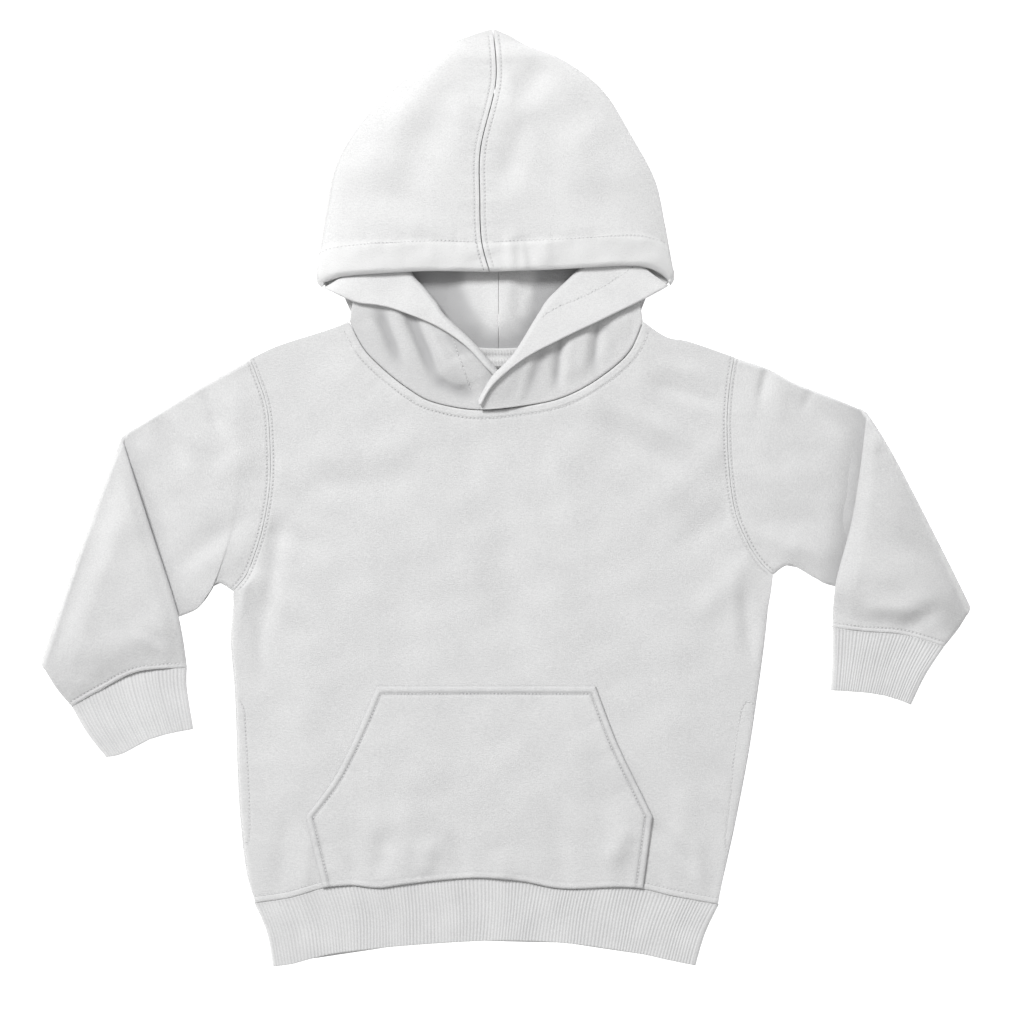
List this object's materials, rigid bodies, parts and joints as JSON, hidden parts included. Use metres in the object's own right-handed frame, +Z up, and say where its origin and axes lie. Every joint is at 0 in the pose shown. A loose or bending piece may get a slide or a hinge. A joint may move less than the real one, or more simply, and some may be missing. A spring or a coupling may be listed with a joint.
{
  "type": "toddler hoodie",
  "caption": "Pullover hooded sweatshirt for a toddler, laid flat with both sleeves folded in, with a kangaroo pocket and ribbed hem and cuffs.",
  "frame": {"origin": "centre of the garment's outline in plan, on the surface that it lies on", "axes": "+X to the right in the picture, +Y up the picture towards the hood, +Z up from the surface"},
  "size_m": [0.5749, 0.5805, 0.0193],
  "materials": {
    "fleece": "matt brushed-back sweatshirt fleece",
    "rib": "matt ribbed knit",
    "lining": "matt jersey, seen inside the hood"
  },
  "bodies": {
    "root": {"front_panel": "fleece", "back_panel": "fleece", "kangaroo_pocket": "fleece", "hem_rib": "rib", "sleeve_left": "fleece", "sleeve_right": "fleece", "cuff_left": "rib", "cuff_right": "rib", "hood_outer_left": "fleece", "hood_outer_right": "fleece", "hood_lining_back_left": "lining", "hood_lining_back_right": "lining", "hood_front_outer_left": "fleece", "hood_front_outer_right": "fleece", "hood_front_lining_left": "lining", "hood_front_lining_right": "lining"}
  },
  "joints": []
}
